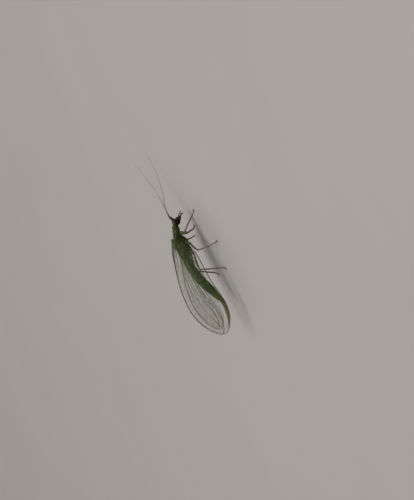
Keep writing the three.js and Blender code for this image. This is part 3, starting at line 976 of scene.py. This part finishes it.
# the hind margin, then the front margin, each from root to tip
OUTLINES = {
    "fore": ([
        (-0.45, 0.8, 4.34), (-1.1, 0.46, 4.82), (-2.0, 0.22, 5.18), (-3.2, 0.12, 5.57), (-5.3, 0.1, 6.15),
        (-7.3, 0.1, 6.49), (-9.1, 0.1, 6.57), (-10.5, 0.12, 6.38), (-11.75, 0.16, 5.95), (-12.5, 0.22, 5.54),
        (-13.1, 0.34, 5.12), (-13.6, 0.52, 4.65), (-13.95, 0.72, 4.26), FORE_TIP,
    ], [
        (0.3, 0.98, 3.98), (-0.5, 1.45, 3.72), (-1.5, 2.1, 3.3), (-2.6, 2.7, 2.89), (-4.75, 3.0, 2.88),
        (-7.0, 3.0, 2.86), (-8.8, 2.9, 2.6), (-10.6, 2.7, 2.42), (-12.1, 2.2, 2.57), (-12.8, 1.9, 2.82),
        (-13.5, 1.5, 3.17), (-13.9, 1.18, 3.53), FORE_TIP,
    ]),
    "hind": ([
        (-1.9, 0.62, 4.02), (-2.6, 0.35, 4.35), (-4.0, 0.14, 4.9), (-6.0, 0.1, 5.5), (-8.2, 0.1, 5.85),
        (-10.0, 0.1, 5.8), (-11.6, 0.14, 5.35), (-12.7, 0.25, 4.8), HIND_TIP,
    ], [
        (-1.6, 0.85, 3.78), (-2.6, 1.55, 3.5), (-4.2, 2.2, 3.3), (-6.2, 2.4, 3.28), (-8.4, 2.35, 3.2),
        (-10.4, 2.05, 3.18), (-12.0, 1.5, 3.34), (-12.9, 0.95, 3.7), HIND_TIP,
    ]),
}
ROOF_CURVE = 0.8
FILM_HALF = 0.008
PLEAT = 0.035
PLEAT_COUNT = 5

EDGE_STEPS = 241
EDGES = {kind: [smooth(points, EDGE_STEPS) for points in both] for kind, both in OUTLINES.items()}


def wing_points(kind, out, across, sign):
    """Points of a wing at places out (0 root to 1 tip) and across (0 hind to 1 front edge)."""
    out, across = np.broadcast_arrays(np.asarray(out, float), np.asarray(across, float))
    steps = np.linspace(0, 1, EDGE_STEPS)
    hind, front = ([np.interp(out, steps, edge[:, k]) for k in range(3)] for edge in EDGES[kind])
    x = hind[0] + (front[0] - hind[0]) * across
    y = hind[1] + (front[1] - hind[1]) * across ** ROOF_CURVE
    z = hind[2] + (front[2] - hind[2]) * across
    fade = np.clip(out * 6, 0, 1) * np.clip((1 - out) * 8, 0, 1) * np.sin(np.pi * across)
    y = y + PLEAT * fade * np.sin(2 * np.pi * PLEAT_COUNT * across)
    return np.stack([x, sign * y, z], axis=-1)


middle_of_wing = wing_points("fore", 0.5, np.array([0.0, 1.0]), 1)
print("forewing is", round(float(np.linalg.norm(middle_of_wing[0] - middle_of_wing[1])), 2), "mm across")

# %% [markdown]
# ## The net of veins
# The veins are drawn in those two numbers. Long veins run from root to tip, and rows of cross veins
# join each long vein to the next, slanting outward, which bends the long ones into a slight zigzag.
# Towards the hind margin the cross veins fork. Two stepped rows of short veins, the gradates, close
# the cells of the outer half.

# %% Long veins and rows of cross veins
# for each long vein, its thickness and points, each how far out and how far across
LONG = {
    "costa": (0.06, [(0, 1.0), (0.5, 1.0), (1, 1.0)]),
    "subcosta": (0.026, [(0, 0.80), (0.08, 0.80), (0.2, 0.82), (0.4, 0.87), (0.6, 0.915), (0.75, 0.95),
        (0.86, 0.99)]),
    "radius": (0.036, [(0, 0.68), (0.08, 0.72), (0.2, 0.765), (0.4, 0.825), (0.6, 0.865), (0.75, 0.905),
        (0.95, 0.99)]),
    "sector": (0.024, [(0.09, 0.72), (0.16, 0.67), (0.3, 0.67), (0.5, 0.69), (0.7, 0.73), (0.85, 0.79),
        (0.98, 0.95)]),
    "inner": (0.022, [(0, 0.60), (0.1, 0.56), (0.2, 0.52), (0.35, 0.49), (0.5, 0.49), (0.65, 0.52),
        (0.8, 0.6), (0.94, 0.8)]),
    "outer": (0.021, [(0, 0.50), (0.1, 0.42), (0.2, 0.35), (0.35, 0.29), (0.5, 0.26), (0.65, 0.27),
        (0.8, 0.35), (0.94, 0.62)]),
    "first_anal": (0.02, [(0, 0.34), (0.08, 0.24), (0.18, 0.14), (0.28, 0.06), (0.36, 0.0)]),
    "second_anal": (0.018, [(0, 0.2), (0.06, 0.12), (0.13, 0.05), (0.18, 0.0)]),
    "margin": (0.045, [(0, 0.0), (0.5, 0.0), (1, 0.0)]),
}
CROSS_THICK = 0.0125
# from, to, first and last place out, how many, how far the far end slants outward
ROWS = [
    ("costa", "subcosta", 0.03, 0.84, 27, -0.012),
    ("subcosta", "radius", 0.12, 0.84, 9, -0.004),
    ("radius", "sector", 0.13, 0.94, 15, 0.012),
    ("sector", "inner", 0.15, 0.93, 15, 0.035),
    ("inner", "outer", 0.10, 0.93, 14, 0.022),
]
STRAIGHT_VEINS = ("costa", "radius", "subcosta")
HIND_FORKS = 21
# from, to, first and last place out, how many
GRADATES = [("sector", "inner", 0.42, 0.88, 8), ("outer", "margin", 0.4, 0.9, 9)]
GRADATE_LENGTH = 0.045
ZIGZAG = 0.005
PLACE_SCATTER = 0.004


def across_at(name, out):
    """How far across the long vein of that name lies."""
    pairs = smooth(LONG[name][1], 120)
    return float(np.interp(out, pairs[:, 0], pairs[:, 1]))


def scattered(start, end, count):
    """Even places with a little chance in them."""
    return np.linspace(start, end, count) + chance.normal(0, PLACE_SCATTER, count)


print("long veins:", len(LONG), "rows of cross veins:", len(ROWS))

# %% [markdown]
# ## Laying out the net
# Cross veins come first, because each pushes the long veins it meets a little to one side. Forks and
# gradates follow, and the long veins come last, when all the pushes on them are known.

# %% The net of one wing
def vein_net():
    """Every vein as (places out and across, thickness, whether it is an edge)."""
    net = []
    zigzag = {name: [] for name in LONG}
    for first, second, start, end, count, slant in ROWS:
        for place in scattered(start, end, count):
            far = place + slant
            net.append(([(place, across_at(first, place)), (far, across_at(second, far))], CROSS_THICK, 0))
            zigzag[second].append((far, ZIGZAG))
            if first not in STRAIGHT_VEINS:
                zigzag[first].append((place, -ZIGZAG))
    for place in scattered(0.05, 0.96, HIND_FORKS):
        start = across_at("outer", place)
        if start < 0.05:
            continue
        fork = (place + 0.018, start * 0.52)
        net.append(([(place, start), fork], CROSS_THICK, 0))
        for spread in (0.008, 0.03):
            net.append(([fork, (min(place + 0.018 + spread, 0.995), 0.0)], CROSS_THICK * 0.9, 0))
    for upper, lower, start, end, count in GRADATES:
        for k, place in enumerate(np.linspace(start, end, count)):
            mix = 0.5 + 0.06 * (-1) ** k
            ends = [(out, across_at(upper, out) * (share - mix) + across_at(lower, out) * mix)
                    for out, share in ((place, 1), (place + GRADATE_LENGTH, 0.96))]
            net.append((ends, CROSS_THICK, 0))
    for name, (thick, points) in LONG.items():
        line = smooth(points, 150)
        for place, push in zigzag[name]:
            line[:, 1] += push * np.clip(1 - np.abs(line[:, 0] - place) / 0.02, 0, 1)
        line[:, 1] = np.clip(line[:, 1], 0, 1)
        net.append((line.tolist(), thick, 1 if name in ("costa", "margin") else 0))
    return net


NET = vein_net()
print("veins in each wing:", len(NET))

# %% [markdown]
# ## Film
# The film is a closed sheet, less than two hundredths of a millimetre thick, with a finer weave of
# points than the roof curve needs so that light runs smoothly over it. An attribute marks the band at
# the front edge, partly a brown stain and partly painted shade. The shade is painted at full strength
# on the near wing, where the shaded body and floor show through it. Through the near wing the far
# wing's front edge looks pale, so its band is faint.

# %% Wing film
FILM_OUT = 110
FILM_ACROSS = 40
# strength of the band on each forewing: the wings are alike in life, and the near wing's stronger band is
# painted shade
STAIN_AND_SHADE = {"right": 1.0, "left": 0.12}
# where the band of stain and painted shade starts across the wing, and its middle and reach outward
BAND_ACROSS = 0.86
BAND_OUT = 0.76
BAND_REACH = 0.15


def film(kind, side_name, sign):
    out = np.linspace(0, 0.9985, FILM_OUT)[:, None]
    across = np.linspace(0, 1, FILM_ACROSS)[None, :]
    middle = wing_points(kind, out, across, sign)
    normal = unit(np.cross(np.gradient(middle, axis=0), np.gradient(middle, axis=1)))
    points = np.concatenate([(middle + normal * FILM_HALF).reshape(-1, 3),
                             (middle - normal * FILM_HALF).reshape(-1, 3)])
    grid = np.arange(FILM_OUT * FILM_ACROSS).reshape(FILM_OUT, FILM_ACROSS)
    quads = np.stack([grid[:-1, :-1], grid[:-1, 1:], grid[1:, 1:], grid[1:, :-1]], axis=-1)
    faces = []
    for quad in quads.reshape(-1, 4):
        faces += [quad.tolist(), (quad[::-1] + grid.size).tolist()]
    rim = np.concatenate([grid[0], grid[1:, -1], grid[-1, -2::-1], grid[-2:0:-1, 0]])
    for a, b in zip(rim.tolist(), np.roll(rim, -1).tolist()):
        faces.append([a, a + grid.size, b + grid.size, b])
    # the band of stain and painted shade, strong on the near forewing and faint on the far one
    strength = STAIN_AND_SHADE[side_name] if kind == "fore" else 0.0
    stigma = strength * np.clip((across - BAND_ACROSS) / 0.05, 0, 1)
    stigma = stigma * np.exp(-((out - BAND_OUT) / BAND_REACH) ** 4)
    gather = Faces()
    gather.add(points, faces, stigma=np.tile(np.broadcast_to(stigma, middle.shape[:2]).ravel(), 2))
    make(f"{kind}wing_{side_name}", gather, MEMBRANE, "wing", f"{kind}wing_{side_name}")


print("each film has", 2 * (FILM_OUT - 1) * (FILM_ACROSS - 1), "quads on its two faces")

# %% [markdown]
# ## Veins
# The veins are six-sided tubes sunk through the film, so that they stand out on both faces, and they
# thin towards the tip. Hindwings have finer veins. Veins are green near the root, and in front, where
# they lie over the body. The far wing's edges are thinner and paler, as they look through the near
# wing.

# %% Wing veins
VEIN_SIDES = 6
GREEN_IN_FRONT = {"right": 0.75, "left": 0.15}


def veins(kind, side_name, sign):
    gather = Faces()
    scale = 1.0 if kind == "fore" else 0.75
    for line, thick, edge in NET:
        line = np.array(line)
        if kind == "hind" and edge:
            thick, edge = thick * 0.6, 0.25
        elif side_name == "left" and edge:
            thick, edge = thick * 0.8, 0.5
        if len(line) == 2:
            line = line[0] + (line[1] - line[0]) * np.linspace(0, 1, 6)[:, None]
        path = wing_points(kind, line[:, 0], line[:, 1], sign)
        steps = np.linalg.norm(np.diff(path, axis=0), axis=1)
        keep = np.concatenate([[True], steps > 1e-4])
        path = path[keep]
        if len(path) < 3:
            continue
        out, across = line[keep, 0], line[keep, 1]
        shrink = 1 - (0.45 if edge == 0 else 0.3) * out
        at_root = np.clip(1.15 - out / 0.26, 0, 1)
        in_front = GREEN_IN_FRONT[side_name] * (1 - edge)
        in_front = in_front * np.clip((across - 0.45) / 0.2, 0, 1) * np.clip((0.8 - out) / 0.2, 0, 1)
        add_tube(gather, path, thick * scale * shrink, VEIN_SIDES, edge=float(edge),
                 near_body=np.maximum(at_root, in_front))
    make(f"{kind}wing_veins_{side_name}", gather, VEIN, "wing")


print("the front edge of a forewing is", 2 * LONG["costa"][0], "mm thick at its root")

# %% [markdown]
# ## Fringe and vein hairs
# A fringe of short hairs follows both edges, longer behind than in front, and sparser hairs stand on
# both faces along the long veins. All lean towards the tip.

# %% Wing hairs, then all four wings
STEP_OUT = 0.01
# which edge, a step inward from it, how many hairs and how long
FRINGES = [(0.0, 0.06, 250, 0.17), (1.0, -0.06, 180, 0.11)]


def wing_hairs(kind, side_name, sign):
    gather = Faces()
    for edge, inner, count, length in FRINGES:
        for place in np.linspace(0.1, 0.985, count):
            place = float(place + chance.normal(0, 0.001))
            root, inside, further = wing_points(
                kind, [place, place, place + STEP_OUT], [edge, edge + inner, edge], sign)
            tipward = unit(further - root)
            lean = unit(root - inside) + tipward * 0.8 + chance.normal(0, 0.08, 3)
            add_hair(gather, root, lean, length, 0.0045, tipward * 0.2, (map_place(place), 0.3 + 0.4 * edge))
    for line, *_ in NET[-len(LONG):]:
        for place, across in line[14:-4:2]:
            root, further = wing_points(kind, [place, place + STEP_OUT], [across, across], sign)
            tipward = unit(further - root)
            for face in (-1, 1):
                lean = np.array((0.0, face * 1.0, 0.25)) + tipward * 0.9
                add_hair(gather, root, lean, 0.11, 0.004, tipward * 0.1, (map_place(place), across * 0.9))
    make(f"{kind}wing_hairs_{side_name}", gather, SETA, "wing")


for side_name, sign in SIDES.items():
    for kind in ("fore", "hind"):
        film(kind, side_name, sign)
        veins(kind, side_name, sign)
        wing_hairs(kind, side_name, sign)

# %% [markdown]
# ## Wing roots
# Small hard plates hinge each wing to the thorax. Each root here is a short bundle of tapering
# tubes that runs from inside the thorax into the base of the main veins.

# %% Wing hinges
# for each wing: where its root starts inside the thorax, and the pale plates beside it
HINGES = {
    "fore": ((-0.05, 0.62, 3.85), [(-0.95, 0.86, 4.02), (-0.4, 0.86, 4.1)]),
    "hind": ((-1.72, 0.55, 3.72), [(-2.5, 0.6, 3.98), (-2.05, 0.66, 4.05)]),
}
# how far across each root tube meets the wing, and its thickness inside the thorax
ROOT_TUBES = [(1.0, 0.12), (0.8, 0.10), (0.68, 0.11), (0.5, 0.09), (0.3, 0.09), (0.1, 0.08)]
ROOT_STEPS = 16


def wing_hinge(kind, side_name, sign):
    gather = Faces()
    into, plates = HINGES[kind]
    into = np.array(into) * (1, sign, 1)
    # the root tubes, and the bead at the forewing's root, carry the same painted shade as the creases
    for across, thick in ROOT_TUBES:
        ends = wing_points(kind, [0.0, 0.02, 0.05], [across] * 3, sign)
        start = into + (ends[0] - into) * 0.15
        path = smooth([start, 0.5 * (start + ends[0]) + (0, 0, 0.03), *ends], ROOT_STEPS)
        taper = 1 - 0.72 * np.linspace(0, 1, ROOT_STEPS)
        add_tube(gather, path, thick * taper, 10, crease=0.5, tail=0.3)
    if kind == "fore":
        bead(gather, (0.08, 0.8 * sign, 3.86), (0.36, 1.02 * sign, 4.02), 14, 0.17, (0.3, 3.05), 16, 0.6,
             crease=0.45, tail=0.55)
    for place in plates:
        middle = np.array(place) * (1, sign, 1)
        bead(gather, middle - (0.13, 0, -0.01), middle + (0.13, 0, 0.01), 12, 0.13, (0.25, 2.9), 14, 0.7,
             pale=0.55)
    make(f"{kind}wing_hinge_{side_name}", gather, GREEN, "thorax")


for side_name, sign in SIDES.items():
    for kind in HINGES:
        wing_hinge(kind, side_name, sign)

# %% [markdown]
# ## Floor and light
# The stage is a plain pale floor, painted matt, under one large soft light, two weak ones and a dim,
# even sky. Large lamps keep the shadows of the thin legs soft, as daylight through a window does.

# %% Floor and light
FLOOR_REACH = 3.0


def pale_floor(tree):
    paint = blotched(tree, 30.0, [(0.3, "#9a9591"), (0.7, "#9d9894")])
    grain, = mottling(tree, (0.5, 4))
    return surface(tree, paint, grain, 0.01, {"Roughness": 0.75})


def lay_floor():
    mesh = bpy.data.meshes.new("floor")
    corners = [(-1, -1, 0), (1, -1, 0), (1, 1, 0), (-1, 1, 0)]
    mesh.from_pydata([(x * FLOOR_REACH, y * FLOOR_REACH, z) for x, y, z in corners], [], [(0, 1, 2, 3)])
    mesh.materials.append(material_of("matte_paint_pale", pale_floor))
    floor = bpy.data.objects.new("floor", mesh)
    bpy.context.scene.collection.objects.link(floor)


def soft_light(name, place, size, power, aim=(0, 0, 0.003)):
    lamp = bpy.data.lights.new(name, "AREA")
    lamp.shape = "DISK"
    lamp.size = size
    lamp.energy = power
    made = bpy.data.objects.new(name, lamp)
    made.location = place
    made.rotation_euler = (Vector(aim) - Vector(place)).to_track_quat("-Z", "Y").to_euler()
    bpy.context.scene.collection.objects.link(made)


def even_sky(colour, strength):
    world = bpy.data.worlds.new("studio")
    world.use_nodes = True
    background = world.node_tree.nodes["Background"]
    background.inputs["Color"].default_value = linear(colour)
    background.inputs["Strength"].default_value = strength
    bpy.context.scene.world = world


lay_floor()
soft_light("key", (0.2, -0.25, 0.6), 0.5, 3.9)
soft_light("fill", (-0.5, -0.35, 0.35), 0.5, 0.8)
soft_light("rim", (-0.1, 0.5, 0.4), 0.4, 0.8)
even_sky("#d6d2ce", 0.36)
bpy.context.scene.view_settings.view_transform = "Standard"
print("stage is set")

# %% [markdown]
# ## Camera
# The camera looks from the insect's right with a long lens, from a little above the floor, and is
# rolled so that the head points up and to the left. A long lens from further off keeps the near and
# the far legs at almost one scale. Its length follows from the pixels wanted for each millimetre.

# %% Camera
SENSOR_WIDTH = 36.0
FRAME_WIDE, FRAME_HIGH = 414, 500
PIXELS_PER_MM = 7.46
ELEVATION = math.radians(15.0)
ROLL = math.radians(118.0)
DISTANCE = 0.3
# the forewing's root, dropped to the floor, shows at this pixel of the frame
ROOT_PIXEL = (199.7, 227.6)


def place_camera():
    right = Vector((1, 0, 0))
    up = Vector((0, math.sin(ELEVATION), math.cos(ELEVATION)))
    back = Vector((0, -math.cos(ELEVATION), math.sin(ELEVATION)))
    across = math.cos(ROLL) * right - math.sin(ROLL) * up
    upward = math.sin(ROLL) * right + math.cos(ROLL) * up
    root = Vector((ROOT_X * MM, 0, 0))
    aim = root - across * ((ROOT_PIXEL[0] - FRAME_WIDE / 2) / PIXELS_PER_MM * MM)
    aim = aim - upward * ((FRAME_HIGH / 2 - ROOT_PIXEL[1]) / PIXELS_PER_MM * MM)
    lens = bpy.data.cameras.new("camera")
    lens.sensor_width = SENSOR_WIDTH
    lens.lens = SENSOR_WIDTH * DISTANCE / MM * PIXELS_PER_MM / FRAME_HIGH
    lens.clip_start = 0.01
    lens.clip_end = 20.0
    camera = bpy.data.objects.new("camera", lens)
    turn = Matrix((across, upward, back)).transposed().to_4x4()
    camera.matrix_world = Matrix.Translation(aim + back * DISTANCE) @ turn
    bpy.context.scene.collection.objects.link(camera)
    bpy.context.scene.camera = camera
    print("lens", round(lens.lens, 1), "mm")


place_camera()
